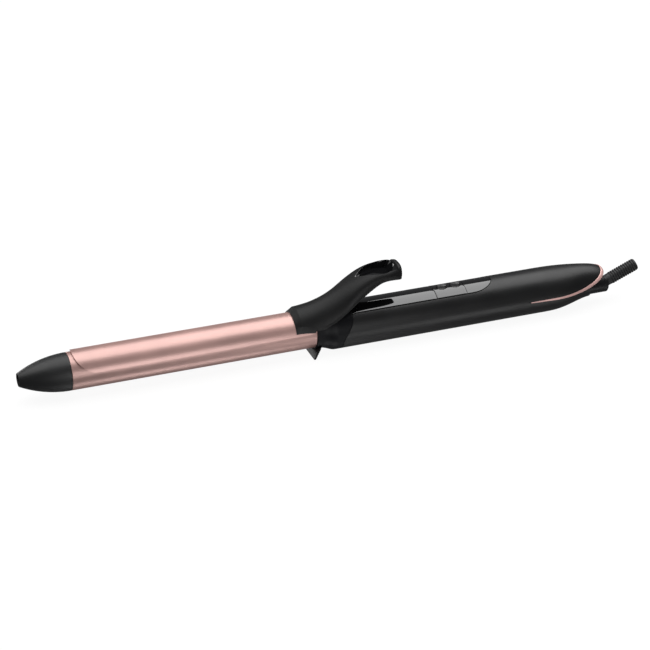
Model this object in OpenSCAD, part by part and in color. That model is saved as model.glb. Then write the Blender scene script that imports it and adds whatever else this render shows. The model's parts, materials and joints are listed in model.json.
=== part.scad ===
// Spring-clip curling iron with a 25 mm barrel.
// X runs from the nose to the cord end, Z is up, and the origin is below the middle, on the table.

/* [Barrel] */
// Outer diameter of the barrel tube
barrel_d = 24; // [23.5:0.1:24.2]
// Wall of the barrel tube
barrel_wall = 1; // [0.8:0.1:1.4]
// Distance from the nose's front face to the barrel
tip_l = 31.5; // [28:0.5:33]
// Radius of the nose's ogive curve
tip_curve_r = 68; // [66:1:80]

/* [Clamp] */
// Thickness of the clamp blade
blade_t = 0.8; // [0.6:0.1:0.9]
// Running gap between the blade and the barrel
blade_gap = 0.25; // [0.2:0.05:0.3]
// Distance from the nose to the blade's front edge
blade_x = 34; // [33:0.5:40]
// Angle from the top to each long edge of the blade
blade_angle = 77; // [60:1:80]
// Distance from the nose to the lever's front edge
lever_x = 176; // [175:0.5:177]
// Radius of the hinge pin
hinge_r = 1.2; // [1.1:0.05:1.25]

/* [Handle] */
// Outer diameter of the handle
handle_d = 29.7; // [29.5:0.1:30]
// Wall of the handle shells
shell_wall = 2.2; // [2:0.1:2.4]
// Depth of the gloss panels in the upper shell
panel_t = 1.2; // [1:0.1:1.3]
// Half-width of the gloss panels
panel_half_w = 9.1; // [8.6:0.1:9.3]
// Widest part of the rear trim band
trim_w = 2.4; // [1.8:0.1:2.6]

/* [Cord outlet] */
// Outer diameter of the swivel cap
swivel_d = 12.6; // [12.4:0.1:12.8]
// Length of the strain-relief boot from its hinge to its end
boot_l = 25.5; // [24:0.5:28]
// Outer diameter of the boot's ribs
boot_d = 8.4; // [8:0.1:8.6]
// Number of ribs on the boot
boot_ribs = 11; // [8:1:12]
// Radius of the boot's bore for the cord
cord_r = 2.6; // [2.2:0.1:2.8]
// Upward tilt of the boot at rest
boot_tilt = 22.5; // [15:0.5:25]

/* [Hidden] */
$fn = 96;
barrel_r = barrel_d / 2;
barrel_in_r = barrel_r - barrel_wall;
barrel_end_x = 206;
handle_r = handle_d / 2;
handle_z = -0.6;
part_z = handle_z + 0.05;
shell_in_r = handle_r - shell_wall;
axis_z = handle_r - handle_z;
blade_in_r = barrel_r + blade_gap;
blade_out_r = blade_in_r + blade_t;
blade_end_x = 198.5;
hinge_x = 203;
hinge_z = 14.8;
hinge_fit = 0.05;
collar_x = 190;
collar_top_z = 7.9;
seam_x = 207.6;
taper_x = 345;
handle_end_x = 396.4;
trim_x = 334.8;
trim_len = 58.6;
trim_rise = 10.8;
lower_end_x = 382.5;
panel_x = 208;
control_x = 273;
rear_panel_x = 294;
panel_end_x = 313.5;
seam_gap = 0.3;
button_x = [279.5, 288.8];
button_r = 2.75;
board_z = 5;
board_t = 1.6;
swivel_r = swivel_d / 2;
swivel_z = -3.3;
swivel_x = 383.5;
swivel_end_x = 398;
boot_x = 396.2;
boot_r = boot_d / 2;
boot_ball_r = 3.2;
boot_rib_x = 7.5;
overall_l = boot_x + boot_l * cos(boot_tilt) + (boot_r - 0.9) * sin(boot_tilt);

// ---- placing and shaping helpers ----

// Moves from the design frame (nose at x 0, barrel axis at z 0) to the part's own frame.
module placed() translate([-overall_l / 2, 0, axis_z]) children();

// Stands a solid of revolution along +X.
module along_x(x = 0, z = 0) translate([x, 0, z]) rotate([0, 90, 0]) children();

// Lays a solid of revolution along Y, centred on y 0.
module along_y(x, z) translate([x, 0, z]) rotate([90, 0, 0]) children();

module rod_x(x0, x1, r, z = 0) along_x(x0, z) cylinder(r = r, h = x1 - x0);

module tube_x(x0, x1, r_out, r_in, z = 0) {
    difference() {
        rod_x(x0, x1, r_out, z);
        rod_x(x0 - 1, x1 + 1, r_in, z);
    }
}

// Extrudes an outline drawn in the side view (x, z) across the width.
module side_cut(points, width = 60) rotate([90, 0, 0]) linear_extrude(width, center = true) polygon(points);

module box(low, high) translate(low) cube(high - low);

// A closed skin through rings of points.
module loft(rings) {
    n = len(rings[0]);
    last = len(rings) - 1;
    points = [for (ring = rings) each ring];
    sides = [for (i = [0 : last - 1], j = [0 : n - 1]) let (k = (j + 1) % n)
        each [[i * n + j, (i + 1) * n + j, (i + 1) * n + k], [i * n + j, (i + 1) * n + k, i * n + k]]];
    front = [for (j = [0 : n - 1]) j];
    rear = [for (j = [n - 1 : -1 : 0]) last * n + j];
    polyhedron(points, concat([front], sides, [rear]));
}

// A solid through convex rings of points, one hull from each ring to the next.
module skin(rings) {
    for (i = [0 : len(rings) - 2]) {
        points = concat(rings[i], rings[i + 1]);
        hull() polyhedron(points, [[for (j = [0 : len(points) - 1]) j]]);
    }
}

// One closed round skin swept along a path, for wires and coiled springs.
module wire(path, r, sides = 8) {
    last = len(path) - 1;
    rings = [for (i = [0 : last]) let (
            ahead = path[min(i + 1, last)] - path[max(i - 1, 0)],
            t = ahead / norm(ahead),
            u0 = cross(t, [0, 1, 0.02]),
            u = u0 / norm(u0),
            v = cross(t, u))
        [for (j = [0 : sides - 1]) let (a = -360 * j / sides) path[i] + r * (cos(a) * u + sin(a) * v)]];
    loft(rings);
}

// A pan-head screw standing on its seat, pointing down.
module screw(head_r, head_h, shank_r, shank_l) {
    difference() {
        cylinder(r = head_r, h = head_h, $fn = 32);
        for (turn = [0, 90]) rotate(turn) translate([0, 0, head_h])
            cube([head_r * 1.3, 0.5, 1], center = true);
    }
    translate([0, 0, -shank_l]) cylinder(r = shank_r, h = shank_l + 0.01, $fn = 24);
}

// ---- profiles ----

function blend(a, b, t) = a + (b - a) * t;
function smooth(t) = let (c = min(1, max(0, t))) c * c * (3 - 2 * c);

// Height of the handle's top and depth of its underside from its own axis.
function taper_t(x) = min(0.999, max(0, (x - taper_x) / (handle_end_x - taper_x)));
function top_r(x) = handle_r * pow(1 - pow(taper_t(x), 2), 0.195);
function low_r(x) = blend(handle_r, swivel_r - swivel_z + handle_z, pow(smooth((x - 348) / 36), 1.8));
function side_r(x) = min(0.5 * (top_r(x) + low_r(x)) + 0.2, handle_r);

function handle_ring(x, inset, n) = [for (i = [0 : n - 1]) let (a = -360 * i / n)
    [x, (side_r(x) - inset) * cos(a), handle_z + ((sin(a) > 0 ? top_r(x) : low_r(x)) - inset) * sin(a)]];

// The handle's outside from x0 to its rear end, inset by a wall where that is asked for.
module handle_solid(x0, x1, inset = 0, n = 48) {
    middle = [for (x = [taper_x : 7 : x1 - 12]) x];
    ends = [for (back = [9, 6, 4, 2.4, 1.2, 0.4, 0]) x1 - back];
    skin([for (x = concat([x0], middle, ends)) handle_ring(x, inset, n)]);
}

// The trim line, from its point on the handle's side up over the rear.
function trim_at(s) = [trim_x + trim_len * s, part_z + trim_rise * pow(s, 5)];
function trim_slope(s) = 5 * trim_rise * pow(s, 4) / trim_len;
function trim_low(s) = let (m = trim_slope(s), w = trim_w * pow(max(0, s), 0.5))
    trim_at(s) + w * [m, -1] / sqrt(1 + m * m);
trim_steps = [for (s = [0 : 0.08 : 1.12]) s];
trim_upper = [for (s = trim_steps) trim_at(s)];
trim_lower = [for (s = trim_steps) trim_low(s)];

// The rear edge of the collar, a smooth curve in the side view.
function collar_edge(z) = seam_x + 6.8 * smooth((z + 7) / 17);
edge_heights = concat([-20], [for (z = [-8 : 1.5 : 11.5]) z], [20]);
collar_outline = concat([[collar_x, 20], [collar_x, -20]], [for (z = edge_heights) [collar_edge(z), z]]);

// Everything in front of the collar's rear edge, with a given gap behind it.
function ahead_of_seam(gap) = concat([[180, 20], [180, -20]],
    [for (z = edge_heights) [collar_edge(z) + gap, z]]);

// ---- nose and barrel ----

module cool_tip() {
    boss_r = 4.2;
    color("#26262a") placed() difference() {
        union() {
            along_x() rotate_extrude() intersection() {
                translate([barrel_r - tip_curve_r, tip_l]) circle(r = tip_curve_r, $fn = 240);
                square([barrel_r, tip_l]);
            }
            rod_x(tip_l - 1, tip_l + 9, barrel_in_r - 0.05);
        }
        along_x(-1) cylinder(r = 4, h = 6);
        rod_x(4, 16, 1.35);
        difference() {
            rod_x(14, tip_l + 10, 8.6);
            rod_x(13, 22, boss_r);
        }
        rod_x(15, 23, 1.35);
    }
}

module tip_screw() color("silver") placed() along_x(4.98) mirror([0, 0, 1]) screw(2.4, 1.6, 1.25, 40);

module tip_anchor() {
    color("silver") placed() difference() {
        union() {
            rod_x(42.5, 44, barrel_in_r - 0.05);
            rod_x(43.9, 47, 3);
        }
        rod_x(42, 48, 1.25);
    }
}

module tip_insulator() color("#c8b48c") placed() tube_x(47.2, 50.2, barrel_in_r - 0.05, 7);

module barrel_tube() color("#c9998c") placed() tube_x(tip_l, barrel_end_x, barrel_r, barrel_in_r);

// ---- heater ----

heater_x = 58;
heater_end_x = 150;
wafer_t = 2.2;
electrode_t = 0.3;
film_t = 0.2;
spreader_z = wafer_t / 2 + electrode_t + film_t;

module spreader(x0, x1) {
    difference() {
        rod_x(x0, x1, barrel_in_r - 0.1);
        box([x0 - 1, -12, -12], [x1 + 1, 12, spreader_z]);
        rod_x(x0 - 1, x1 + 1, 3.2, spreader_z + 5);
        for (side = [-1, 1]) translate([0, side * 7.6, 0]) rod_x(x0 - 1, x1 + 1, 1.7, spreader_z + 2.4);
    }
}

module heat_spreader_upper() color("#b8b8bc") placed() spreader(heater_x, heater_end_x);
module heat_spreader_lower() color("#b8b8bc") placed() mirror([0, 0, 1]) spreader(heater_x, heater_end_x);

module heater_wafers() {
    color("#4a4744") placed() for (x = [62, 91, 120])
        box([x, -7, -wafer_t / 2], [x + 26, 7, wafer_t / 2]);
}

module heater_electrodes() {
    color("#d8b070") placed() for (side = [-1, 1]) {
        z0 = side > 0 ? wafer_t / 2 : -wafer_t / 2 - electrode_t;
        box([60, -7, z0], [148, 7, z0 + electrode_t]);
        box([147, side * 4 - 1.5, z0], [154, side * 4 + 1.5, z0 + electrode_t]);
    }
}

module insulating_films() {
    color("#d8a040") placed() for (side = [-1, 1]) {
        z0 = side > 0 ? spreader_z - film_t : -spreader_z;
        box([59, -8, z0], [149, 8, z0 + film_t]);
    }
}

module thermal_fuse() {
    color("#e0d8c8") placed() {
        rod_x(100, 110, 2.6, spreader_z + 5);
        rod_x(92, 118, 0.5, spreader_z + 5);
    }
}

module temperature_sensor() {
    color("#d0c8b0") placed() {
        translate([80, 0, -spreader_z - 5]) sphere(r = 1.8, $fn = 32);
        rod_x(80, 128, 0.9, -spreader_z - 5);
    }
}

lead_r = 0.8;
module heater_leads() {
    color("#e8e4dc") placed() for (side = [-1, 1]) {
        z0 = side * (wafer_t / 2 + electrode_t + lead_r);
        wire([[151, side * 4, z0], [198, side * 4, z0], [214, side * 5, 2], [224, side * 5, 3.2]], lead_r);
    }
}

// ---- root of the barrel ----

module barrel_holder() {
    color("#3a3836") placed() difference() {
        union() {
            rod_x(208, 212, shell_in_r - 0.3, handle_z);
            rod_x(200, 209, barrel_in_r - 0.05);
        }
        rod_x(199, 213, 8.4);
        for (side = [-1, 1]) translate([0, side * 10.4, 0]) rod_x(207, 213, 0.9, -3.5);
    }
}

module holder_screws() {
    color("silver") placed() for (side = [-1, 1])
        translate([0, side * 10.4, 0]) along_x(212, -3.5) screw(1.7, 1, 0.85, 5);
}

// Outside of the collar: barrel size at its front, handle size at its rear.
function collar_ring(x, grow = 0) =
    let (t = smooth((x - 196.5) / 6.5), r = blend(12.95, handle_r, t) + grow)
    [for (i = [0 : 47]) let (a = -360 * i / 48) [x, r * cos(a), handle_z * t + r * sin(a)]];

module front_collar() {
    foot_w = 26;
    foot = [[193.4, -7], [collar_x, -11], [187.2, -axis_z], [188.6, -axis_z], [192.6, -9.5]];
    color("#2a2b30") placed() difference() {
        union() {
            intersection() {
                skin([for (x = [collar_x, 196.5, 197.6, 198.8, 200, 201.4, 203, 216]) collar_ring(x)]);
                side_cut(collar_outline);
            }
            side_cut(foot, foot_w);
        }
        rod_x(185, 207.9, barrel_r + 0.02);
        rod_x(205, 220, shell_in_r - 0.2, handle_z);
        box([180, -30, collar_top_z], [blade_end_x + 0.5, 30, 20]);
        box([180, -9.6, 5], [207.4, 9.6, 20]);
        foot_sides();
    }
}

// Trims the foot's ends so that it narrows towards the barrel.
module foot_sides() {
    for (side = [-1, 1]) rotate([0, 90, 0]) translate([0, 0, 183]) linear_extrude(14)
        polygon([[axis_z + 1, side * 13.4], [8, side * 11.2], [8, side * 16], [axis_z + 1, side * 16]]);
}

// ---- hinge of the clamp ----

saddle_ear_y = 4.9;
ear_t = 1.2;
module hinge_saddle() {
    color("#8c8c90") placed() difference() {
        union() {
            intersection() {
                tube_x(199.5, 206.5, blade_out_r, barrel_r + 0.02);
                box([199, -9.2, 5], [207, 9.2, 20]);
            }
            for (side = [-1, 1]) {
                box([hinge_x - 2.4, side * saddle_ear_y - ear_t / 2, 11.2],
                    [hinge_x + 2.4, side * saddle_ear_y + ear_t / 2, hinge_z]);
                along_y(hinge_x, hinge_z) translate([0, 0, side * saddle_ear_y]) cylinder(r = 2.4, h = ear_t, center = true);
            }
        }
        rod_x(190, 210, barrel_r + 0.02);
        along_y(hinge_x, hinge_z) cylinder(r = hinge_r, h = 30, center = true);
        along_y(hinge_x, hinge_z) cylinder(r = 2.4, h = 8.4, center = true);
    }
}

pin_half_l = 7.6;
module hinge_pin() color("silver") placed()
    along_y(hinge_x, hinge_z) cylinder(r = hinge_r, h = 2 * pin_half_l, center = true);

module torsion_spring() {
    turns = 4.5;
    coil_r = 1.9;
    half_w = 3.6;
    steps = 45;
    coil = [for (i = [0 : steps]) let (a = 180 + 360 * turns * i / steps)
        [hinge_x + coil_r * sin(a), half_w * (2 * i / steps - 1), hinge_z + coil_r * cos(a)]];
    color("#9a9a9e") placed() wire(concat([[206.4, -half_w, 13]], coil, [[210, half_w, 23]]), 0.35, 6);
}

// ---- clamp ----

function blade_edge(s) = 12 * pow(1 - pow(s, 1.5), 0.72);

module clamp_blade() {
    edge_z = blade_in_r * cos(blade_angle);
    drop = blade_out_r - edge_z;
    root_x = collar_x - 0.5;
    root_z = collar_top_z + 0.7;
    front = [for (s = [0 : 0.1 : 1]) [blade_x + 12 - blade_edge(s), blade_out_r + 0.1 - (drop + 0.1) * s]];
    outline = concat(front, [[root_x, edge_z], [root_x, root_z], [blade_end_x, root_z], [blade_end_x, 14]]);
    color("#cf9f92") placed() intersection() {
        tube_x(blade_x - 2, blade_end_x, blade_out_r, blade_in_r);
        side_cut(outline);
    }
}

// Lever sections. s runs from 0 at the front to 1 at the tail's end.
lever_end_x = 249.5;
lever_n = 22;
function lever_x_at(s) = lever_x + (lever_end_x - lever_x) * s;

// Height of the crown along the lever: a saddle, an S-shaped rise, then the thumb rest.
function crown_z(x) = 16.6 + 1.9 * smooth((x - 178) / 18) + 17.6 * smooth((x - 188) / 46)
    + 1.6 * smooth((x - 228) / 20);

// Height of the long lower edges.
function skirt_z(x) = 4.6 + 27.6 * smooth((x - 186) / 60) - 4.2 * smooth((x - 232) / 20)
    - 1.6 * smooth((x - 178) / 18) * (1 - smooth((x - 200) / 20));

// Half-width in plan.
function lever_half_w(x) = x < 196 ? 14.2
    : 14.2 - 3 * smooth((x - 200) / 36) - 4.2 * pow(max(0, x - 236) / 14, 2.2);

// Base of the section's arch: the barrel's axis in front, the skirt behind.
function arch_z(x) = blend(0, skirt_z(x) - 0.5, smooth((x - 190) / 25));

// How far a section is squared off: an ellipse in front, flatter on top at the tail.
function lever_power(x) = 1 - 0.4 * smooth((x - 205) / 25);

function lever_ring(x, inset = 0, drop = 0, side_inset = undef) = let (
        base = skirt_z(x) - drop,
        z0 = arch_z(x),
        w = lever_half_w(x) - (is_undef(side_inset) ? inset : side_inset),
        h = crown_z(x) - z0 - inset,
        e = lever_power(x),
        start = asin(pow(max(0, min(0.95, (base - z0) / h)), 1 / e)))
    concat([for (i = [0 : lever_n]) let (a = start + (180 - 2 * start) * i / lever_n)
        [x, w * sign(cos(a)) * pow(abs(cos(a)), e), z0 + h * pow(sin(a), e)]],
        [[x, 0, min(base, z0 + h * pow(sin(start), e))]]);

module clamp_lever() {
    stations = [for (x = [lever_x + 6 : 4 : 238]) x];
    color("#232427") placed() difference() {
        skin(concat([lever_ring(lever_x, 2.6, 0, 0.8), lever_ring(lever_x + 2.6)],
            [for (x = stations) lever_ring(x)],
            [for (x = [241, 244, 246, 247.6, 248.8, lever_end_x]) lever_ring(x)]));
        rod_x(lever_x - 1, 196, blade_out_r + 0.1);
        lever_hollow();
        box([182.6, -4.4, blade_out_r - 0.2], [200, 4.4, blade_out_r + 1.5]);
        thumb_recess();
        for (x = rivet_x) translate([x, 0, 10]) cylinder(r = 1.3, h = 6.4, $fn = 24);
    }
}

// The clear space under the lever, over the collar, hinge and handle.
module lever_hollow() {
    skin([for (x = [192, 196, 200, 204, 209, 214, 219, 224]) lever_ring(x, 1.8, 4)]);
    skin([for (x = [190, 196.5, 198.8, 201.4, 203, 226]) collar_ring(x, 0.5)]);
}

recess_x = 219.5;
recess_end_x = 246.6;
function recess_half_w(s) =
    max(0.4, 9.3 * pow(sin(90 * min(1, s * 1.5)), 0.8) - 1.6 * smooth((s - 0.55) / 0.45));

// Plan outline of the thumb dish: pointed in front, squared at the rear.
module recess_plan() {
    l = recess_end_x - recess_x;
    half = [for (s = [0 : 0.1 : 1]) [recess_x + l * s, recess_half_w(s)]];
    polygon(concat(half, [for (i = [len(half) - 1 : -1 : 0]) [half[i].x, -half[i].y]]));
}

recess_floor_z = 30.8;
module thumb_recess() translate([0, 0, recess_floor_z]) linear_extrude(10) recess_plan();

module thumb_inlay() {
    color("#0c0c0e") placed() intersection() {
        difference() {
            translate([0, 0, recess_floor_z + 0.05]) linear_extrude(8) offset(delta = -0.08) recess_plan();
            translate([0, 0, recess_floor_z + 0.8]) linear_extrude(8) offset(delta = -0.9) recess_plan();
        }
        skin([for (x = [216 : 4 : 248]) lever_ring(x, 0.15)]);
    }
}

rivet_x = [186, 191];

// Steel strap that is riveted between blade and lever; its two ears turn on the hinge pin.
bracket_ear_y = 6.6;
module lever_bracket() {
    strap_z = blade_out_r + 0.11;
    ear = [[193, strap_z], [hinge_x, hinge_z - 2.3], [hinge_x, hinge_z + 2.3], [196, strap_z + 1.6],
        [193, strap_z + ear_t]];
    color("#8c8c90") placed() difference() {
        union() {
            box([183, -4, strap_z], [197, 4, strap_z + ear_t]);
            box([193, -bracket_ear_y - ear_t / 2, strap_z],
                [197, bracket_ear_y + ear_t / 2, strap_z + ear_t]);
            for (side = [-1, 1]) translate([0, side * bracket_ear_y, 0]) {
                side_cut(ear, ear_t);
                along_y(hinge_x, hinge_z) cylinder(r = 2.35, h = ear_t, center = true);
            }
        }
        for (x = rivet_x) translate([x, 0, 8]) cylinder(r = 1.3, h = 12);
        along_y(hinge_x, hinge_z) cylinder(r = hinge_r + hinge_fit, h = 40, center = true);
    }
}

module lever_rivets() {
    color("silver") placed() for (x = rivet_x)
        translate([x, 0, blade_out_r + 0.12]) cylinder(r = 1.25, h = 3.2);
}

// ---- handle shells, panels and trim ----

upper_region = concat([[200, 30], [200, part_z]], trim_upper, [[handle_end_x + 4, 30]]);
lower_region = concat([[200, part_z], [trim_x, part_z]], trim_lower, [[handle_end_x + 8, -20], [200, -20]]);

// Material of both shells before they are parted, hollow, with a solid rear wall.
module shell_stock() {
    difference() {
        handle_solid(200, handle_end_x);
        skin([for (x = [199, 350, 358, 366, 374, 380.6]) handle_ring(x, shell_wall, 32)]);
        side_cut(ahead_of_seam(0.02));
    }
}

module panel_plan(grow) {
    nose = 17.5;
    half_w = panel_half_w + grow;
    tail = panel_end_x - nose;
    polygon(concat([[panel_x - 6, -half_w], [tail, -half_w]],
        [for (a = [-80 : 10 : 80]) [tail + (nose + grow) * pow(cos(a), 0.8), half_w * sin(a)]],
        [[tail, half_w], [panel_x - 6, half_w]]));
}

// Room for the swivel: its cap, its bushing and the neck between them.
module swivel_room() {
    rod_x(383.2, 400, swivel_r + 0.4, swivel_z);
    rod_x(370, 384, 5.4, swivel_z);
    rod_x(374.4, 378.1, swivel_r - 0.18, swivel_z);
}

module panel_pocket() {
    difference() {
        translate([0, 0, 4]) linear_extrude(20) panel_plan(seam_gap);
        rod_x(190, 330, handle_r - panel_t, handle_z);
    }
    for (x = button_x) translate([x, 0, 5]) cylinder(r = button_r + 0.35, h = 20);
}

boss_split_z = -6.85;
module handle_upper_shell() {
    color("#1d1d20") placed() difference() {
        union() {
            intersection() {
                shell_stock();
                side_cut(upper_region);
            }
            for (x = shell_screw_x) translate([x, 0, boss_split_z]) cylinder(r = 2.6, h = 19.2, $fn = 32);
        }
        panel_pocket();
        swivel_room();
        for (x = shell_screw_x) translate([x, 0, -8]) cylinder(r = 1.1, h = 10, $fn = 24);
    }
}

module handle_lower_shell() {
    color("#1d1d20") placed() difference() {
        union() {
            intersection() {
                shell_stock();
                side_cut(lower_region);
            }
            for (x = shell_screw_x)
                translate([x, 0, -14]) cylinder(r = 3, h = boss_split_z + 13.9, $fn = 32);
            for (x = board_screw_x) translate([x, 0, -14]) cylinder(r = 2.4, h = board_z + 14, $fn = 32);
        }
        for (x = board_screw_x) translate([x, 0, -3]) cylinder(r = 1.25, h = 10, $fn = 24);
        swivel_room();
        box([lower_end_x, -20, -20], [handle_end_x + 8, 20, 20]);
        for (x = shell_screw_x) {
            translate([x, 0, -16]) cylinder(r = 2.1, h = 4, $fn = 32);
            translate([x, 0, -14]) cylinder(r = 1.1, h = 10, $fn = 24);
        }
    }
}

module trim_band() {
    color("#d8a396") placed() difference() {
        intersection() {
            handle_solid(330, handle_end_x);
            side_cut(concat(trim_upper, [for (i = [len(trim_lower) - 1 : -1 : 0]) trim_lower[i]]));
        }
        skin([for (x = [329, 350, 358, 366, 374, 382, 388, 391, 393]) handle_ring(x, 1.4, 32)]);
        swivel_room();
    }
}

module panel_piece(x0, x1) {
    difference() {
        intersection() {
            rod_x(x0, x1, handle_r, handle_z);
            translate([0, 0, 4]) linear_extrude(20) panel_plan(0);
        }
        rod_x(190, 330, handle_r - panel_t, handle_z);
        side_cut(ahead_of_seam(seam_gap));
    }
}

module panel_front() color("#08080a") placed() panel_piece(panel_x, control_x - seam_gap / 2);

module panel_control() {
    color("#0a0a0c") placed() difference() {
        panel_piece(control_x + seam_gap / 2, rear_panel_x - seam_gap / 2);
        for (x = button_x) translate([x, 0, 5]) cylinder(r = button_r + 0.35, h = 20);
    }
}

module panel_rear() color("#08080a") placed() panel_piece(rear_panel_x + seam_gap / 2, panel_end_x + 1);

// ---- buttons and electronics ----

switch_top_z = board_z + board_t + 3.5;
button_top_z = handle_r + handle_z - 0.35;
module button(x) {
    flange_z = switch_top_z + 0.4;
    translate([x, 0, flange_z]) {
        cylinder(r = button_r, h = button_top_z - flange_z);
        cylinder(r = 3.5, h = 0.7);
    }
}

module button_front() color("#101012") placed() button(button_x[0]);
module button_rear() color("#101012") placed() button(button_x[1]);

module circuit_board() {
    color("#1f6b3a") placed() difference() {
        box([222, -9.4, board_z], [322, 9.4, board_z + board_t]);
        for (x = board_screw_x) translate([x, 0, 0]) cylinder(r = 1.3, h = 20);
    }
}

board_screw_x = [232, 318];
module board_screws() {
    color("silver") placed() for (x = board_screw_x)
        translate([x, 0, board_z + board_t]) screw(2.2, 1.4, 1.2, 7);
}

module tact_switches() {
    color("#2c2c2e") placed() for (x = button_x) {
        box([x - 3, -3, board_z + board_t], [x + 3, 3, switch_top_z - 1]);
        translate([x, 0, switch_top_z - 1.2]) cylinder(r = 1.6, h = 0.8);
    }
}

module indicator_lights() {
    color("#e8e8f0") placed() for (y = [-5, 5])
        translate([284.2, y, board_z + board_t]) cylinder(r = 1.2, h = 2.2);
}

module controller_chip() color("#161618") placed()
    box([256, -3.5, board_z + board_t], [265, 3.5, board_z + board_t + 1.4]);

module triac() {
    color("#1c1c1e") placed() box([240, -5, board_z - 4.6], [255, 5, board_z]);
}

module capacitor() color("#c8402c") placed() box([262, -6.5, board_z - 10], [276, 6.5, board_z]);

module choke() {
    color("#b06a2c") placed() translate([296, 0, board_z - 2.45])
        rotate_extrude() translate([4.6, 0]) circle(r = 2.4, $fn = 40);
}

shell_screw_x = [217.5, 340];
module shell_screws() color("silver") placed() for (x = shell_screw_x)
    translate([x, 0, -12.05]) mirror([0, 0, 1]) screw(2, 1.4, 1.05, 5);

module supply_leads() {
    color("#7a4a2c") placed() for (side = [-1, 1])
        wire([[320, side * 5, 4], [330, side * 6, 1], [356, side * 6.4, -3.3]], lead_r);
}

// ---- cord outlet ----

core_r = 3.6;
module contact_brushes() {
    color("#d0a860") placed() for (side = [-1, 1])
        box([356, side * 5.9 - 0.8, -5], [370, side * 5.9 + 0.8, -1.6]);
}

module swivel_bushing() color("#e6e2d6") placed()
    tube_x(374.5, 378, swivel_r - 0.2, core_r + 0.05, swivel_z);

module swivel_core() {
    color("#d8d4c8") placed() difference() {
        union() {
            rod_x(357, 384.5, core_r, swivel_z);
            rod_x(378.4, 380.4, 5, swivel_z);
            rod_x(372, 374.1, 5, swivel_z);
        }
        rod_x(350, 390, 2.4, swivel_z);
    }
}

module slip_rings() {
    color("#d0a860") placed() for (x = [360, 366]) tube_x(x, x + 3, core_r + 1.2, core_r + 0.02, swivel_z);
}

module swivel_cap() {
    slot_w = 2 * boot_ball_r + 0.8;
    color("#1a1a1d") placed() difference() {
        union() {
            rod_x(swivel_x, swivel_end_x - 0.8, swivel_r, swivel_z);
            along_x(swivel_end_x - 0.81, swivel_z) cylinder(r1 = swivel_r, r2 = swivel_r - 0.8, h = 0.81);
        }
        rod_x(380, 385, core_r + 0.02, swivel_z);
        along_x(388, swivel_z) cylinder(r = 4, h = 5);
        rod_x(384, 389, 2.4, swivel_z);
        box([390, -slot_w / 2, swivel_z - 8], [400, slot_w / 2, swivel_z + 8]);
        along_y(boot_x, swivel_z) cylinder(r = 0.9, h = 11.4, center = true);
    }
}

module boot_hinge_pin() {
    color("silver") placed() for (side = [-1, 1])
        along_y(boot_x, swivel_z) translate([0, 0, side * 3.8]) cylinder(r = 0.9, h = 3.6, center = true);
}

// Turns the boot's own axis (+Z, from its hinge) to its place at rest.
module at_boot() translate([boot_x, 0, swivel_z]) rotate([0, 90 - boot_tilt, 0]) children();

module cord_boot() {
    rib_l = (boot_l - boot_rib_x - 1.4) / boot_ribs;
    color("#18181b") placed() at_boot() difference() {
        union() {
            intersection() {
                sphere(r = boot_ball_r + 0.6);
                cube([20, 2 * boot_ball_r, 20], center = true);
            }
            cylinder(r = 2.95, h = boot_rib_x);
            translate([0, 0, 4]) cylinder(r1 = 2.95, r2 = boot_r - 0.5, h = boot_rib_x - 4);
            translate([0, 0, boot_rib_x - 0.01]) cylinder(r = boot_r - 0.9, h = boot_l - boot_rib_x);
            for (i = [0 : boot_ribs - 1]) translate([0, 0, boot_rib_x + rib_l * i])
                cylinder(r = boot_r, h = rib_l * 0.55);
            translate([0, 0, boot_l - 1.4]) cylinder(r1 = boot_r, r2 = boot_r - 0.9, h = 1.4);
        }
        translate([0, 0, 2.6]) cylinder(r = cord_r, h = boot_l);
        translate([0, 0, -5]) cylinder(r = 1.8, h = 10);
        rotate([90, 0, 0]) cylinder(r = 0.95, h = 20, center = true);
    }
}

cool_tip();
tip_screw();
tip_anchor();
tip_insulator();
barrel_tube();
heat_spreader_upper();
heat_spreader_lower();
heater_wafers();
heater_electrodes();
insulating_films();
thermal_fuse();
temperature_sensor();
heater_leads();
barrel_holder();
holder_screws();
front_collar();
hinge_saddle();
hinge_pin();
torsion_spring();
clamp_blade();
clamp_lever();
thumb_inlay();
lever_bracket();
lever_rivets();
handle_upper_shell();
handle_lower_shell();
panel_front();
panel_control();
panel_rear();
button_front();
button_rear();
trim_band();
circuit_board();
tact_switches();
indicator_lights();
controller_chip();
triac();
capacitor();
choke();
board_screws();
shell_screws();
supply_leads();
contact_brushes();
swivel_bushing();
swivel_core();
slip_rings();
swivel_cap();
boot_hinge_pin();
cord_boot();
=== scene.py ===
"""A spring-clip curling iron: satin rose-gold barrel and clamp, black nose, soft-touch lever and handle."""
import json
import math

import bmesh
import bpy
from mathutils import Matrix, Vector


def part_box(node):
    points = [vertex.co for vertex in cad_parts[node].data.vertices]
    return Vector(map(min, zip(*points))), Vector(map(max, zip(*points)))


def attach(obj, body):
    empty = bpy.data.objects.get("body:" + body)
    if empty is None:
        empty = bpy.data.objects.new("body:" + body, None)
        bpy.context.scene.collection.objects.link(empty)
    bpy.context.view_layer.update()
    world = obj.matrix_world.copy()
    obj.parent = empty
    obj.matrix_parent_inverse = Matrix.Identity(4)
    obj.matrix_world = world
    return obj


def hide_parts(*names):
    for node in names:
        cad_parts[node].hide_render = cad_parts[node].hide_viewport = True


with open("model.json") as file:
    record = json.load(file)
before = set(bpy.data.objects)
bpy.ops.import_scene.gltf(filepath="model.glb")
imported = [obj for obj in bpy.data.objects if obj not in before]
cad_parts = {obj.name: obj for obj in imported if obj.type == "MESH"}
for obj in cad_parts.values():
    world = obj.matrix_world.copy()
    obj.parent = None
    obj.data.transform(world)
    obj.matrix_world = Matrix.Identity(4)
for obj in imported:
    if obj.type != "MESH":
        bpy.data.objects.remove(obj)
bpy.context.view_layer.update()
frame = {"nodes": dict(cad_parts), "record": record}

MM = 0.001
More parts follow.
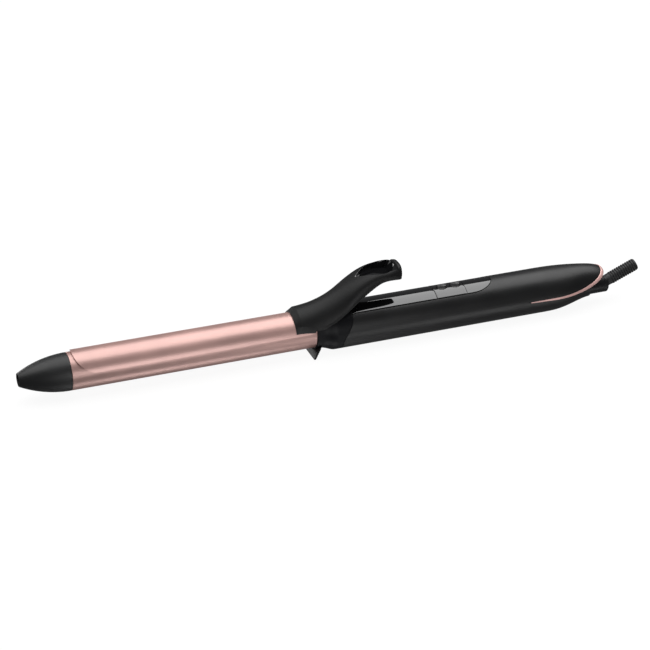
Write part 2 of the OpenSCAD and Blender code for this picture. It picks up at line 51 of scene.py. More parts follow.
NOSE_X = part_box("cool_tip")[0].x
AXIS_Z = sum(corner.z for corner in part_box("barrel_tube")) / 2


# ---- measures, in millimetres: x from the nose's front face, z from the barrel's axis ----

def mm_box(node):
    """Lowest and highest corner of a CAD node, in the script's own millimetres."""
    low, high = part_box(node)
    return [((c.x - NOSE_X) / MM, c.y / MM, (c.z - AXIS_Z) / MM) for c in (low, high)]


def half_width(node):
    return mm_box(node)[1][1]


TABLE_Z = -AXIS_Z / MM
BARREL_R = half_width("barrel_tube")
BARREL_X, BARREL_END_X = mm_box("barrel_tube")[0][0], mm_box("barrel_tube")[1][0]
BARREL_IN_R = BARREL_R - 1
BLADE_X, BLADE_END_X = mm_box("clamp_blade")[0][0], mm_box("clamp_blade")[1][0]
BLADE_OUT_R = mm_box("clamp_blade")[1][2]
BLADE_T = 0.8
BLADE_ANGLE = 77
LEVER_X, LEVER_END_X = mm_box("clamp_lever")[0][0], mm_box("clamp_lever")[1][0]
HANDLE_R = half_width("handle_lower_shell")
HANDLE_Z = TABLE_Z + HANDLE_R
PART_Z = HANDLE_Z + 0.05
WALL = 2.2
TAPER_X = 345
HANDLE_END_X = 396.4
LOWER_END_X = 382.5
INSIDE_END_X = 380.6
TRIM_X, TRIM_LEN, TRIM_RISE, TRIM_W = 334.8, 58.6, 10.8, 2.4
RECESS_X, RECESS_END_X, RECESS_FLOOR_Z = 219.5, 246.6, 30.8
COLLAR_X = 190
SEAM_X = 207.6
CONTROL_X, REAR_PANEL_X, PANEL_END_X = 273, 294, 313.5
PANEL_HALF_W, PANEL_T, PANEL_NOSE = 9.1, 1.2, 17.5
SEAM_GAP = 0.3
BUTTON_X = [sum(corner[0] for corner in mm_box(node)) / 2 for node in ("button_front", "button_rear")]
BUTTON_R = 2.75
BUTTON_GAP = 0.35
SWIVEL_Z = sum(corner[2] for corner in mm_box("swivel_cap")) / 2
SWIVEL_R = half_width("swivel_cap")
SWIVEL_X, SWIVEL_END_X = mm_box("swivel_cap")[0][0], mm_box("swivel_cap")[1][0]
BOOT_X = sum(corner[0] for corner in mm_box("boot_hinge_pin")) / 2
BOOT_TILT = 22.5
BOOT_L = 25.5
BOOT_R = 4.2


def at(x, y, z):
    """A point of the script's millimetres in the shared frame, in metres."""
    return Vector((NOSE_X + x * MM, y * MM, AXIS_Z + z * MM))


# ---- curves ----

def smooth(t):
    t = min(1, max(0, t))
    return t * t * (3 - 2 * t)


def blend(a, b, t):
    return a + (b - a) * t


def cosd(degrees):
    return math.cos(math.radians(degrees))


def sind(degrees):
    return math.sin(math.radians(degrees))


def steps(low, high, count):
    """count + 1 even steps from low to high."""
    return [blend(low, high, i / count) for i in range(count + 1)]


def solve(function, low, high):
    """Where a rising function passes zero between low and high."""
    for _ in range(50):
        middle = (low + high) / 2
        if function(middle) > 0:
            high = middle
        else:
            low = middle
    return (low + high) / 2


def rounded(corners, arc_steps=5):
    """A closed outline with each corner (a, b, radius) rounded."""
    outline = []
    count = len(corners)
    for i, (a, b, radius) in enumerate(corners):
        corner = Vector((a, b))
        if not radius:
            outline.append((a, b))
            continue
        before = Vector(corners[i - 1][:2]) - corner
        after = Vector(corners[(i + 1) % count][:2]) - corner
        reach = radius / math.tan(before.angle(after) / 2)
        reach = min(reach, 0.45 * before.length, 0.45 * after.length)
        start = corner + before.normalized() * reach
        end = corner + after.normalized() * reach
        for k in range(arc_steps + 1):
            t = k / arc_steps
            point = start.lerp(corner, t).lerp(corner.lerp(end, t), t)
            outline.append((point.x, point.y))
    return outline


# ---- mesh building ----

def make(name, points, faces):
    """A mesh object from points in the script's millimetres."""
    mesh = bpy.data.meshes.new(name)
    mesh.from_pydata([at(*p) for p in points], [], faces)
    body = bmesh.new()
    body.from_mesh(mesh)
    bmesh.ops.remove_doubles(body, verts=body.verts, dist=2e-7)
    bmesh.ops.dissolve_degenerate(body, edges=body.edges, dist=1e-7)
    bmesh.ops.recalc_face_normals(body, faces=body.faces)
    body.to_mesh(mesh)
    body.free()
    piece = bpy.data.objects.new(name, mesh)
    bpy.context.scene.collection.objects.link(piece)
    return piece


def loft(name, rings, loop=False):
    """A closed solid through rings of points. A loop joins the last ring to the first."""
    n = len(rings[0])
    points = [p for ring in rings for p in ring]
    spans = len(rings) if loop else len(rings) - 1
    faces = []
    for i in range(spans):
        here, there = i * n, (i + 1) % len(rings) * n
        for j in range(n):
            k = (j + 1) % n
            faces.append((here + j, here + k, there + k, there + j))
    if not loop:
        faces.append(tuple(reversed(range(n))))
        faces.append(tuple(range(len(points) - n, len(points))))
    return make(name, points, faces)


def lathe(name, outline, sides=128, centre_z=0):
    """A solid of revolution about X. The outline is closed, in (x, radius)."""
    rings = [[(x, r * cosd(360 * i / sides), centre_z + r * sind(360 * i / sides)) for x, r in outline]
             for i in range(sides)]
    return loft(name, rings, loop=True)


def prism(name, outline, low, high, axis):
    """An outline extruded along Y (outline in x, z) or along Z (outline in x, y)."""
    if axis == "Y":
        return loft(name, [[(a, level, b) for a, b in outline] for level in (low, high)])
    return loft(name, [[(a, b, level) for a, b in outline] for level in (low, high)])


def box(name, low, high):
    corners = [(low[0], low[1]), (high[0], low[1]), (high[0], high[1]), (low[0], high[1])]
    return prism(name, corners, low[2], high[2], "Z")


def rod(name, x0, x1, radius, centre_z=0, sides=96):
    ring = [(radius * cosd(360 * i / sides), radius * sind(360 * i / sides)) for i in range(sides)]
    return loft(name, [[(x, y, centre_z + z) for y, z in ring] for x in (x0, x1)])


def post(name, x, y, z0, z1, radius, sides=64):
    ring = [(x + radius * cosd(360 * i / sides), y + radius * sind(360 * i / sides)) for i in range(sides)]
    return prism(name, ring, z0, z1, "Z")


def apply_modifiers(piece):
    graph = bpy.context.evaluated_depsgraph_get()
    mesh = bpy.data.meshes.new_from_object(piece.evaluated_get(graph))
    piece.modifiers.clear()
    piece.data = mesh


def combine(piece, operation, *tools):
    """Cuts, joins or crops a solid with other solids, which are used up."""
    for tool in tools:
        modifier = piece.modifiers.new("combine", "BOOLEAN")
        modifier.operation = operation
        modifier.solver = "EXACT"
        modifier.object = tool
        apply_modifiers(piece)
        bpy.data.objects.remove(tool)
    return piece


def cut(piece, *tools):
    return combine(piece, "DIFFERENCE", *tools)


def soften(piece, width=0.2, segments=3, angle=40):
    """Rounds the solid's sharp edges."""
    modifier = piece.modifiers.new("soften", "BEVEL")
    modifier.width = width * MM
    modifier.segments = segments
    modifier.limit_method = "ANGLE"
    modifier.angle_limit = math.radians(angle)
    modifier.use_clamp_overlap = True
    apply_modifiers(piece)
    return piece


# ---- nose and barrel ----

def nose_radius(x):
    curve_r = 68
    return BARREL_R - curve_r + math.sqrt(curve_r ** 2 - (BARREL_X - x) ** 2)


def build_nose():
    recess_r, recess_l, hole_r = 4, 5, 1.35
    socket_r, cavity_r, cavity_x, boss_r, boss_x = BARREL_IN_R - 0.05, 8.6, 14, 4.2, 22
    curve = [(x, nose_radius(x), 0) for x in steps(2.4, BARREL_X - 0.3, 36)]
    corners = [(recess_l, hole_r, 0), (recess_l, recess_r, 0.4), (0, recess_r, 0.35),
               (0, nose_radius(0), 1.9)]
    corners += curve
    corners += [(BARREL_X - 0.05, BARREL_R - 0.12, 0.1), (BARREL_X - 0.05, socket_r, 0),
                (BARREL_X + 9, socket_r, 0.3), (BARREL_X + 9, cavity_r, 0), (cavity_x, cavity_r, 0),
                (cavity_x, boss_r, 0), (boss_x, boss_r, 0), (boss_x, hole_r, 0)]
    return lathe("nose", rounded(corners), sides=160)


def build_barrel():
    corners = [(BARREL_X + 0.05, BARREL_R, 0.2), (BARREL_END_X, BARREL_R, 0.2),
               (BARREL_END_X, BARREL_IN_R, 0.1), (BARREL_X + 0.05, BARREL_IN_R, 0.1)]
    return lathe("barrel", rounded(corners), sides=192)


# ---- clamp blade ----

BLADE_LOW_Z = (BLADE_OUT_R - BLADE_T) * cosd(BLADE_ANGLE)


def blade_front(angle):
    """Where the blade's rounded front edge lies at an angle from the top."""
    sweep = 12
    drop = BLADE_OUT_R + 0.1 - BLADE_LOW_Z
    s = min(1, max(0, (BLADE_OUT_R + 0.1 - BLADE_OUT_R * cosd(angle)) / drop))
    return BLADE_X + sweep - sweep * (1 - s ** 1.5) ** 0.72


def build_blade():
    edge_angle = math.degrees(math.acos(BLADE_LOW_Z / BLADE_OUT_R))
    angles = [edge_angle * math.sin(math.radians(t)) for t in steps(-90, 90, 96)]
    lengths = [(1 - cosd(t)) for t in steps(0, 90, 60)]
    skins = []
    thin, thin_l = 0.45, 1.6
    for radius in (BLADE_OUT_R, BLADE_OUT_R - BLADE_T):
        skin = []
        for a in angles:
            row = []
            for u in lengths:
                x = blend(blade_front(a), BLADE_END_X, u)
                undercut = thin * (1 - smooth((x - blade_front(a)) / thin_l)) if radius < BLADE_OUT_R else 0
                row.append((x, (radius + undercut) * sind(a), (radius + undercut) * cosd(a)))
            skin.append(row)
        skins.append(skin)
    rings = [outer + list(reversed(inner)) for outer, inner in zip(*skins)]
    blade = loft("blade", rings)
    root_x, root_z = COLLAR_X - 0.5, 8.6
    cut(blade, box("blade_root", (root_x, -20, -5), (BLADE_END_X + 1, 20, root_z)))
    return soften(blade, width=0.22, segments=3, angle=50)


# ---- collar and foot ----

def collar_edge(z):
    return SEAM_X + 6.8 * smooth((z + 7) / 17)


def collar_section(x, grow=0.0):
    """Radius and centre height of the collar at x: barrel size in front, handle size behind."""
    t = smooth((x - 194.5) / 9)
    return blend(12.95, HANDLE_R, t) + grow, HANDLE_Z * t


def collar_point(x, angle, grow=0.0):
    radius, centre = collar_section(x, grow)
    return x, radius * cosd(angle), centre + radius * sind(angle)


def foot_solid():
    """The rest foot: a wedge across the collar's front that narrows towards the barrel."""
    wedge = rounded([(193.4, -7, 0), (COLLAR_X, -11, 0.6), (187.2, TABLE_Z, 0.5), (188.6, TABLE_Z, 0.5),
                     (192.6, -9.5, 1)])
    low_w, high_w, high_z = 13.1, 11.2, -8
    rings = []
    for side in steps(-1, 1, 2):
        rings.append([(x, side * blend(low_w, high_w, (z - TABLE_Z) / (high_z - TABLE_Z)), z)
                      for x, z in wedge])
    return soften(loft("foot", rings), width=0.3, segments=1, angle=60)


def build_collar():
    rear_in_r, bore_r, step_x = HANDLE_R - WALL - 0.2, BARREL_R + 0.02, 207.9
    angles = [360 * i / 160 for i in range(160)]
    rings = []
    for angle in angles:
        rear_x = collar_edge(HANDLE_Z + HANDLE_R * sind(angle))
        outer = [collar_point(x, angle) for x in steps(COLLAR_X + 0.35, rear_x - 0.35, 48)]
        edge = [collar_point(COLLAR_X, angle, -0.35)] + outer + [collar_point(rear_x - 0.08, angle, -0.12),
                                                                 collar_point(rear_x, angle, -0.4)]
        inner = [(rear_x, rear_in_r, HANDLE_Z), (step_x, rear_in_r, HANDLE_Z), (step_x, bore_r, 0),
                 (COLLAR_X, bore_r, 0)]
        edge += [(x, r * cosd(angle), centre_z + r * sind(angle)) for x, r, centre_z in inner]
        rings.append(edge)
    collar = loft("collar", rings, loop=True)
    combine(collar, "UNION", foot_solid())
    cut(collar, rod("collar_bore", 185, 207.5, bore_r, sides=160),
        box("collar_top", (180, -30, 7.9), (BLADE_END_X + 0.5, 30, 20)),
        box("collar_slot", (180, -9.6, 5), (207.4, 9.6, 20)))
    return collar


# ---- clamp lever and its thumb dish ----

def crown_z(x):
    """Height of the lever's top: a saddle, an S-shaped rise, then the thumb rest."""
    rise = 1.9 * smooth((x - 178) / 18) + 17.6 * smooth((x - 188) / 46)
    return 16.6 + rise + 1.6 * smooth((x - 228) / 20)


def skirt_z(x):
    """Height of the lever's long lower edges."""
    dip = 1.6 * smooth((x - 178) / 18) * (1 - smooth((x - 200) / 20))
    return 4.6 + 27.6 * smooth((x - 186) / 60) - 4.2 * smooth((x - 232) / 20) - dip


def lever_half_w(x):
    taper = 3 * smooth((x - 200) / 36) if x >= 196 else 0
    return 14.2 - taper - 4.2 * (max(0, x - 236) / 14) ** 2.2


def lever_section(x, inset=0.0, side_inset=None, drop=0.0):
    """Half-width, base height, arch height, squareness and lower edge of a section of the lever."""
    base = skirt_z(x) - drop
    arch = blend(0, skirt_z(x) - 0.5, smooth((x - 190) / 25))
    width = lever_half_w(x) - (inset if side_inset is None else side_inset)
    height = crown_z(x) - arch - inset
    power = 1 - 0.4 * smooth((x - 205) / 25)
    return width, arch, height, power, base


def arch_width(section, z):
    """Half-width of a section at a height."""
    width, arch, height, power, _ = section
    sine = min(1, max(0, (z - arch) / height)) ** (1 / power)
    return width * math.sqrt(1 - sine * sine) ** power


def band_height(x):
    """Height of the facet along the lever's lower edge."""
    return blend(4.4, 2.6, smooth((x - 180) / 18)) + 0.6 * smooth((x - 225) / 20)


def lever_ring(x, inset=0.0, side_inset=None, drop=0.0, facet=True, count=72):
    """One section of the lever: the crown's arch, a crease on each side and a tucked facet below it.

    In front the facet's lower edge stays just outside the blade."""
    section = lever_section(x, inset, side_inset, drop)
    width, arch, height, power, base = section
    crease = base + (band_height(x) if facet else 0.4)
    tuck = 0.25 * band_height(x) if facet else 0
    start = math.degrees(math.asin(min(0.97, max(0, (crease - arch) / height)) ** (1 / power)))
    side = []
    for a in steps(start, 90, count // 2):
        spread = abs(cosd(a)) ** power if a < 90 else 0
        side.append((width * spread, arch + height * sind(a) ** power))
    blade_y = math.sqrt(max(0, BLADE_OUT_R ** 2 - base ** 2))
    seat_y = (blade_y + 0.45) * (1 - smooth((x - 188) / 8))
    low_y = max(min(arch_width(section, base), side[0][0]) - tuck, seat_y)
    right = [(low_y, base), (side[0][0] - 0.04, crease - 0.12), (side[0][0], crease + 0.05)] + side[1:]
    left = [(-y, z) for y, z in reversed(right[:-1])]
    return [(x, y, z) for y, z in right + left]


def recess_half_w(s):
    """Half-width of the thumb recess a share s of the way along it."""
    widening = 9.3 * math.sin(math.radians(90 * min(1, s * 1.5))) ** 0.8
    return max(0.4, widening - 1.6 * smooth((s - 0.55) / 0.45))


def recess_outline(grow=0.0, rear=0.0, count=40):
    """Plan outline of the thumb dish: pointed in front, squared with round corners at the rear."""
    x0, x1 = RECESS_X - grow, RECESS_END_X + grow - rear
    half = []
    for s in [1 - (1 - t) ** 2 if t > 0.5 else t * t + t for t in steps(0, 1, count)]:
        s = min(1, s)
        half.append((blend(x0, x1, s), (recess_half_w(s) + grow) * (1 if s < 1 else 0.97)))
    return half + [(x, -y) for x, y in reversed(half)]


def crown_surface(x, y):
    """Height of the lever's top surface above a point in plan."""
    width, arch, height, power, _ = lever_section(x)
    cosine = min(1, abs(y) / width) ** (1 / power)
    return arch + height * math.sqrt(1 - cosine * cosine) ** power


def build_lever():
    end_round, chamfer_l, chamfer_h, chamfer_w = 1.5, 3.6, 2.6, 0.9
    rings = [lever_ring(LEVER_X + chamfer_l * t, chamfer_h * (1 - t), chamfer_w * (1 - t))
             for t in (0, 0.03, 0.5, 0.97)]
    rings += [lever_ring(x) for x in steps(LEVER_X + chamfer_l + 0.15, LEVER_END_X - end_round, 92)]
    for a in steps(10, 90, 9):
        rings.append(lever_ring(LEVER_END_X - end_round * (1 - sind(a)), end_round * (1 - cosd(a))))
    lever = loft("lever", rings)
    hollow = loft("lever_hollow", [lever_ring(x, 1.8, drop=6, facet=False) for x in steps(192, 224, 32)])
    collar_room = loft("collar_room", [[collar_point(x, 3.75 * i, 0.5) for i in range(96)]
                                       for x in steps(190, 226, 36)])
    strap_room = box("strap_room", (182.6, -4.4, BLADE_OUT_R - 0.2), (200, 4.4, BLADE_OUT_R + 1.5))
    recess = prism("recess", recess_outline(), RECESS_FLOOR_Z, RECESS_FLOOR_Z + 10, "Z")
    cut(lever, rod("blade_seat", LEVER_X - 1, 196, BLADE_OUT_R + 0.05, sides=192), hollow, collar_room,
        strap_room, recess)
    return lever


def build_thumb_dish():
    """A gloss lining of the thumb recess with steep sides and a sloping rear wall."""
    outer = recess_outline(-0.08)
    inner = recess_outline(-0.22)
    foot = recess_outline(-0.8, rear=2.6)

    def level(outline, z):
        return [(x, y, z) for x, y in outline]

    def below_crown(outline, depth):
        return [(x, y, max(RECESS_FLOOR_Z + 0.6, crown_surface(*o) - depth))
                for (x, y), o in zip(outline, outer)]

    rings = [level(outer, RECESS_FLOOR_Z + 0.03), below_crown(outer, 0.3), below_crown(inner, 0.32),
             level(foot, RECESS_FLOOR_Z + 0.4)]
    return loft("thumb_dish", rings)


# ---- handle shells and trim ----

def top_r(x):
    t = min(0.9995, max(0, (x - TAPER_X) / (HANDLE_END_X - TAPER_X)))
    return HANDLE_R * (1 - t * t) ** 0.195


def low_r(x):
    return blend(HANDLE_R, SWIVEL_R - SWIVEL_Z + HANDLE_Z, smooth((x - 348) / 36) ** 1.8)


def side_r(x):
    return min(0.5 * (top_r(x) + low_r(x)) + 0.2, HANDLE_R)


def on_handle(x, angle, inset=0.0):
    """A point of the handle's outside, or inset below it. Angle 90 is the top."""
    reach = top_r(x) if sind(angle) > 0 else low_r(x)
    return x, (side_r(x) - inset) * cosd(angle), HANDLE_Z + (reach - inset) * sind(angle)


def angle_at(x, z):
    """The angle at which the handle's outside reaches a height, up to 90 at its top."""
    reach = top_r(x) if z > HANDLE_Z else low_r(x)
    return math.degrees(math.asin(min(1, max(-1, (z - HANDLE_Z) / reach))))


def trim_upper(s):
    return TRIM_X + TRIM_LEN * s, PART_Z + TRIM_RISE * s ** 5


def trim_lower(s):
    slope = 5 * TRIM_RISE * s ** 4 / TRIM_LEN
    width = TRIM_W * s ** 0.5
    x, z = trim_upper(s)
    length = math.hypot(1, slope)
    return x + width * slope / length, z - width / length


def trim_end(line):
    """Where a trim line passes over the top of the handle."""
    return solve(lambda s: line(s)[1] - HANDLE_Z - top_r(line(s)[0]), 0.5, 1.12)


def shell_stations(line):
    """(x, height of the shell's edge) along the handle: straight, then along a trim line."""
    last = trim_end(line)
    straight = [(x, PART_Z) for x in steps(200, TRIM_X, 60)]
    along = [line(last * (1 - (1 - t) ** 2)) for t in steps(0.01, 0.999, 70)]
    return straight + along


def swivel_room():
    return [rod("cap_room", 383.2, 402, SWIVEL_R + 0.4, SWIVEL_Z),
            rod("core_room", 370, 384, 5.4, SWIVEL_Z)]


def handle_inside():
    stations = steps(199, 345, 12) + steps(348, INSIDE_END_X, 14)
    return loft("inside", [[on_handle(x, 3.75 * i, WALL) for i in range(96)] for x in stations])


def front_of_seam():
    """Everything in front of the collar's rear edge."""
    edge = [(collar_edge(z) + 0.03, z) for z in [-20] + steps(-8, 11.5, 40) + [20]]
    return prism("front", [(180, 20), (180, -20)] + edge, -30, 30, "Y")


def panel_outline(grow):
    half_w = PANEL_HALF_W + grow
    tail = PANEL_END_X - PANEL_NOSE
    arc = [(tail + (PANEL_NOSE + grow) * cosd(a) ** 0.8, half_w * sind(a)) for a in steps(-88, 88, 44)]
    return [(202, -half_w), (tail, -half_w)] + arc + [(tail, half_w), (202, half_w)]


def build_upper_shell():
    rings = []
    for x, z in shell_stations(trim_upper):
        edge = min(89.5, angle_at(x, z))
        rings.append([on_handle(x, a) for a in steps(edge, 180 - edge, 96)])
    shell = loft("upper_shell", rings)
    pocket = prism("pocket", panel_outline(1.6 * SEAM_GAP), 4, 24, "Z")
    cut(pocket, rod("pocket_floor", 190, 330, HANDLE_R - PANEL_T, HANDLE_Z, sides=160))
    holes = [post("button_hole", x, 0, 5, 20, BUTTON_R + BUTTON_GAP) for x in BUTTON_X]
    return cut(shell, handle_inside(), front_of_seam(), pocket, *holes, *swivel_room())


def build_lower_shell():
    rings = []
    for x, z in shell_stations(trim_lower):
        edge = min(89.5, angle_at(x, z))
        rings.append([on_handle(x, a) for a in steps(180 - edge, 360 + edge, 120)])
    shell = loft("lower_shell", rings)
    rear = box("rear", (LOWER_END_X, -30, -30), (HANDLE_END_X + 10, 30, 30))
    return cut(shell, handle_inside(), front_of_seam(), rear, *swivel_room())


def build_trim():
    """The rose-gold band: from a point on one side, over the rear of the handle, to a point on the other."""
    depth, across = 1.3, 10
    upper_end, lower_end = trim_end(trim_upper), trim_end(trim_lower)
    half = []
    for t in steps(0.02, 1, 90):
        s = 1 - (1 - t) ** 2
        upper, lower = trim_upper(upper_end * s), trim_lower(lower_end * s)
        half.append((upper[0], angle_at(*upper), lower[0], angle_at(*lower)))

    def ring(station, mirrored):
        x0, a0, x1, a1 = station
        crown = min(0.4, HANDLE_R - side_r(x0))
        points = [on_handle(blend(x0, x1, v), blend(a0, a1, v), -crown * math.sqrt(1 - (2 * v - 1) ** 2))
                  for v in steps(0.01, 0.99, across)]
        points += [on_handle(x1, a1, 0.12), on_handle(x1, a1, depth), on_handle(x0, a0, depth),
                   on_handle(x0, a0, 0.12)]
        return [(x, -y if mirrored else y, z) for x, y, z in points]

    rings = [ring(station, False) for station in half]
    rings += [ring(station, True) for station in reversed(half[:-1])]
    return loft("trim", rings)


# ---- gloss panels and buttons ----

def panel_rows(x0, x1):
    """(x, half-width) stations of a panel, with the round end of the rear one."""
    tail = PANEL_END_X - PANEL_NOSE
    if x1 <= tail:
        return [(x, PANEL_HALF_W) for x in steps(x0, x1, 24)]
    straight = [(x, PANEL_HALF_W) for x in steps(x0, tail, 6)]
    arc = [(tail + PANEL_NOSE * cosd(a) ** 0.8, PANEL_HALF_W * sind(a)) for a in steps(88, 1.5, 50)]
    return straight + arc


def panel_solid(name, x0, x1):
    rings = []
    for x, half_w in panel_rows(x0, x1):
        row = []
        for radius, order in ((HANDLE_R, 1), (HANDLE_R - PANEL_T, -1)):
            for v in steps(-1, 1, 32)[::order]:
                y = half_w * v
                row.append((x, y, HANDLE_Z + math.sqrt(radius * radius - y * y)))
        rings.append(row)
    return loft(name, rings)


def build_panel_front():
    panel = panel_solid("gloss_panel_front", collar_edge(14) + SEAM_GAP, CONTROL_X - SEAM_GAP / 2)
    return soften(panel, 0.14)


def build_panel_control():
    """The middle panel, with a flared hole round each button."""
    panel = panel_solid("gloss_panel_control", CONTROL_X + SEAM_GAP / 2, REAR_PANEL_X - SEAM_GAP / 2)
    hole_r, top_z = BUTTON_R + BUTTON_GAP, HANDLE_R + HANDLE_Z
    for x in BUTTON_X:
        levels = [(hole_r, 5), (hole_r, top_z - 0.75), (BUTTON_R + 1.1, top_z), (BUTTON_R + 1.5, top_z + 0.4)]
        cut(panel, loft("hole", [[(x + r * cosd(a), r * sind(a), z) for a in range(0, 360, 6)]
                                 for r, z in levels]))
    return soften(panel, 0.1, segments=2)


def build_panel_rear():
    return soften(panel_solid("gloss_panel_rear", REAR_PANEL_X + SEAM_GAP / 2, PANEL_END_X), 0.14)


def button_solid(name, x):
    """A round key with a dished top and a flange that keeps it in the handle."""
    top = HANDLE_R + HANDLE_Z - 0.35
    flange_z, flange_r, flange_h = mm_box("button_front")[0][2], 3.5, 0.7
    outline = rounded([(flange_z, 0.001, 0), (flange_z, flange_r, 0.1), (flange_z + flange_h, flange_r, 0.1),
                       (flange_z + flange_h, BUTTON_R, 0), (top - 0.1, BUTTON_R, 0.25),
                       (top, BUTTON_R - 0.6, 0.2), (top - 0.12, BUTTON_R - 0.9, 0.1), (top - 0.12, 0.001, 0)])
    sides = 96
    rings = [[(x + r * cosd(360 * i / sides), r * sind(360 * i / sides), z) for z, r in outline]
             for i in range(sides)]
    return loft(name, rings, loop=True)


# ---- cord outlet ----

def build_cap():
    bore_r, core_r = 4, 3.62
    corners = [(SWIVEL_X, core_r, 0), (SWIVEL_X, SWIVEL_R, 0.3), (SWIVEL_END_X - 3.1, SWIVEL_R, 0.1),
               (SWIVEL_END_X - 2.95, SWIVEL_R - 0.18, 0.1), (SWIVEL_END_X - 2.8, SWIVEL_R, 0.1),
               (SWIVEL_END_X, SWIVEL_R, 0.9), (SWIVEL_END_X, bore_r, 0.4), (388, bore_r, 0), (388, 2.4, 0),
               (384.6, 2.4, 0), (384.6, core_r, 0)]
    cap = lathe("cord_cap", rounded(corners), sides=128, centre_z=SWIVEL_Z)
    slot_half_w = 3.6
    return cut(cap, box("slot", (390, -slot_half_w, SWIVEL_Z - 8), (400, slot_half_w, SWIVEL_Z + 8)))


def boot_place(along, y, across):
    """A point from the boot's own axis (along it, sideways, up from it) to its tilted place."""
    return (BOOT_X + along * cosd(BOOT_TILT) - across * sind(BOOT_TILT), y,
            SWIVEL_Z + along * sind(BOOT_TILT) + across * cosd(BOOT_TILT))


def build_boot():
    """The strain relief: a ball joint, a smooth neck, then saw-toothed ribs with a bore for the cord."""
    ribs, rib_x, neck_r, ball_r, bore_r, passage_r = 11, 6.2, 3.8, 3.8, 2.6, 1.8
    pitch = (BOOT_L - rib_x - 1.4) / ribs
    corners = [(ball_r * sind(a - 90), ball_r * cosd(a - 90), 0) for a in steps(28.5, 96, 14)]
    corners += [(4, neck_r, 0.4), (rib_x - 0.2, BOOT_R - 0.3, 0.3)]
    for i in range(ribs):
        x = rib_x + pitch * i
        corners += [(x, BOOT_R - 1.0, 0.08), (x + 0.12, BOOT_R - 0.05, 0.12), (x + 0.5 * pitch, BOOT_R, 0.1),
                    (x + 0.68 * pitch, BOOT_R - 1.0, 0.08)]
    corners += [(BOOT_L - 1.4, BOOT_R - 1.0, 0.05), (BOOT_L - 1.3, BOOT_R, 0.1), (BOOT_L, BOOT_R - 0.6, 0.5),
                (BOOT_L, bore_r, 0.2), (2.6, bore_r, 0), (2.6, passage_r, 0)]
    outline = rounded(corners, arc_steps=3)
    sides = 96
    rings = [[boot_place(along, r * cosd(360 * i / sides), r * sind(360 * i / sides)) for along, r in outline]
             for i in range(sides)]
    boot = loft("strain_relief", rings, loop=True)
    flat_y = 3.2
    for side in (-1, 1):
        corners = [boot_place(a, 0, b) for a, b in ((-6, -6), (3.6, -6), (3.6, 6), (-6, 6))]
        outline = [(x, z) for x, _, z in corners]
        cut(boot, prism("flat", outline, *sorted((side * flat_y, side * 8)), "Y"))
    return boot


# ---- materials ----

def surface(name, colour, metallic=0.0, roughness=0.5, grain=2500, bump=0.01, vary=0.06, rough_vary=0.06,
            stretch=(1, 1, 1), ior=1.5, wear_and_highlight=0.0, sheen=0.0):
    """A moulded, coated or drawn surface: broad tone variation, fine grain in bump and gloss, and lighter
    sharp edges that are partly edge wear and partly a painted highlight.
    """
    material = bpy.data.materials.new(name)
    material.use_nodes = True
    nodes, link = material.node_tree.nodes, material.node_tree.links.new
    shader = nodes["Principled BSDF"]
    shader.inputs["Metallic"].default_value = metallic
    shader.inputs["IOR"].default_value = ior
    if sheen:
        shader.inputs["Sheen Weight"].default_value = sheen
        shader.inputs["Sheen Roughness"].default_value = 0.4
    place = nodes.new("ShaderNodeTexCoord")

    def noise(scale, detail, stretched):
        texture = nodes.new("ShaderNodeTexNoise")
        texture.inputs["Scale"].default_value = scale
        texture.inputs["Detail"].default_value = detail
        if stretched:
            mapping = nodes.new("ShaderNodeMapping")
            mapping.inputs["Scale"].default_value = stretch
            link(place.outputs["Object"], mapping.inputs["Vector"])
            link(mapping.outputs["Vector"], texture.inputs["Vector"])
        else:
            link(place.outputs["Object"], texture.inputs["Vector"])
        return texture.outputs["Fac"]

    def spread(source, low, high, new_low, new_high):
        node = nodes.new("ShaderNodeMapRange")
        limits = {"From Min": low, "From Max": high, "To Min": new_low, "To Max": new_high}
        for socket, value in limits.items():
            node.inputs[socket].default_value = value
        link(source, node.inputs["Value"])
        return node.outputs["Result"]

    def mix_colours(factor, first, second):
        node = nodes.new("ShaderNodeMix")
        node.data_type = "RGBA"
        for name, value in (("A", first), ("B", second)):
            socket = next(s for s in node.inputs if s.name == name and s.type == "RGBA")
            if isinstance(value, tuple):
                socket.default_value = (*value, 1)
            else:
                link(value, socket)
        link(factor, node.inputs["Factor"])
        return next(s for s in node.outputs if s.type == "RGBA")

    broad = noise(55, 3, False)
    fine = noise(grain, 4, True)
    dark = tuple(c * (1 - vary) for c in colour)
    light = tuple(min(1, c * (1 + vary)) for c in colour)
    tone = mix_colours(spread(broad, 0.3, 0.7, 0, 1), dark, light)
    grain_dark = tuple(c * (1 - 1.6 * vary) for c in colour)
    tone = mix_colours(spread(fine, 0.55, 0.8, 0, 0.6), tone, grain_dark)
    # Painted highlight and wear: sharp convex edges, found by pointiness, are mixed towards a lighter colour.
    # This is partly real edge wear and partly a painted highlight along creases and rims.
    if wear_and_highlight:
        edges = nodes.new("ShaderNodeNewGeometry")
        wear_and_highlight_mask = spread(edges.outputs["Pointiness"], 0.52, 0.6, 0, wear_and_highlight)
        tone = mix_colours(wear_and_highlight_mask, tone, tuple(min(1, c * 1.5 + 0.06) for c in colour))
    link(tone, shader.inputs["Base Color"])
    total = nodes.new("ShaderNodeMath")
    total.operation = "ADD"
    link(spread(broad, 0.3, 0.7, roughness - rough_vary / 2, roughness + rough_vary / 2), total.inputs[0])
    link(spread(fine, 0.3, 0.7, -rough_vary, rough_vary), total.inputs[1])
    link(total.outputs[0], shader.inputs["Roughness"])
    relief = nodes.new("ShaderNodeBump")
    relief.inputs["Strength"].default_value = 1
    relief.inputs["Distance"].default_value = bump * MM
    link(fine, relief.inputs["Height"])
    link(relief.outputs["Normal"], shader.inputs["Normal"])
    return material


